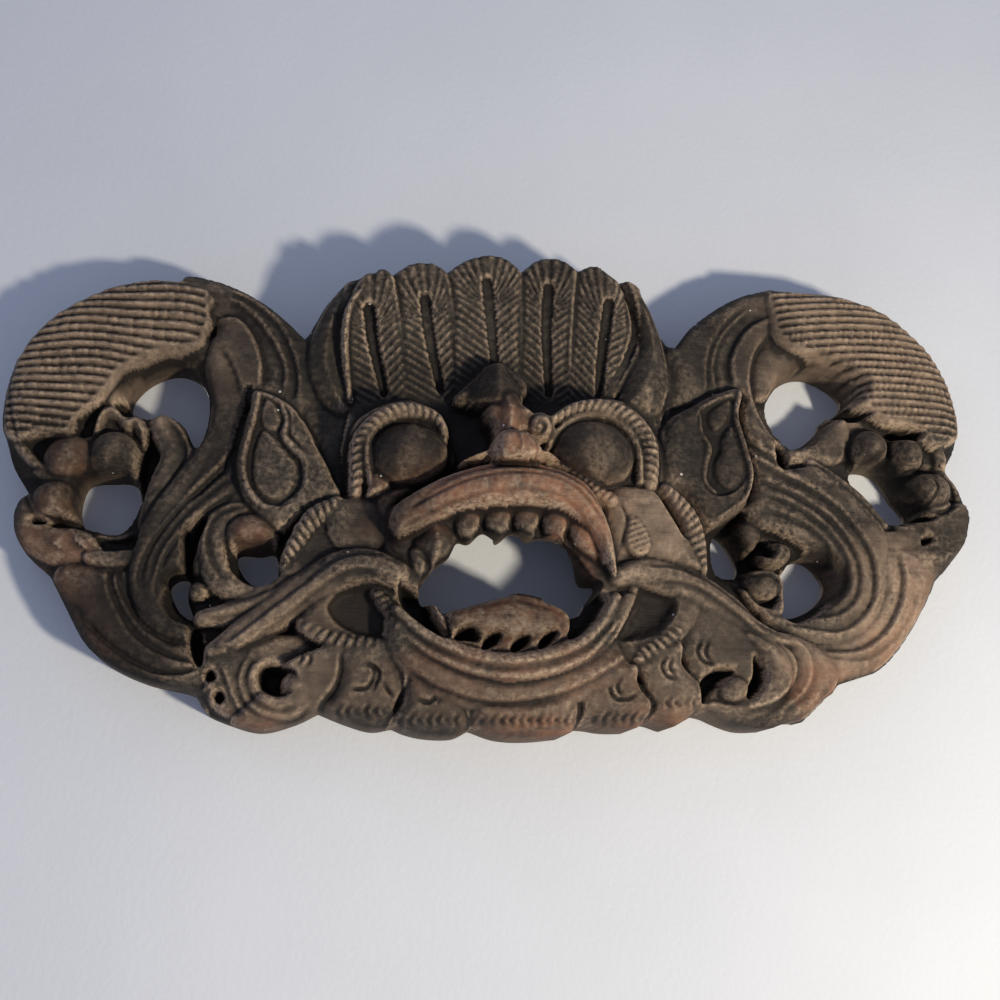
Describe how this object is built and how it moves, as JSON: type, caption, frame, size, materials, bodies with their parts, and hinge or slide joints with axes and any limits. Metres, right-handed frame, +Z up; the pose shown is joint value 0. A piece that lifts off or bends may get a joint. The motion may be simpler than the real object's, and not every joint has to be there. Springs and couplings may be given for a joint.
{
  "type": "carved wall mask",
  "caption": "Pierced wooden wall panel carved as a crested monster's face with an open toothed mouth between two scrolled wings.",
  "frame": {"origin": "point of the flat back behind the forehead, where the panel meets the wall it is fixed to", "axes": "+X along the width, to the right of someone who faces the carving; -Y out of the wall, towards them; +Z up, towards the feather crest"},
  "size_m": [0.5254, 0.0834, 0.2583],
  "materials": {
    "carved_wood": "dark brown carved wood with a dry, dusty patina and worn edges"
  },
  "bodies": {
    "root": {"kirtimukha_panel": "carved_wood"}
  },
  "joints": []
}
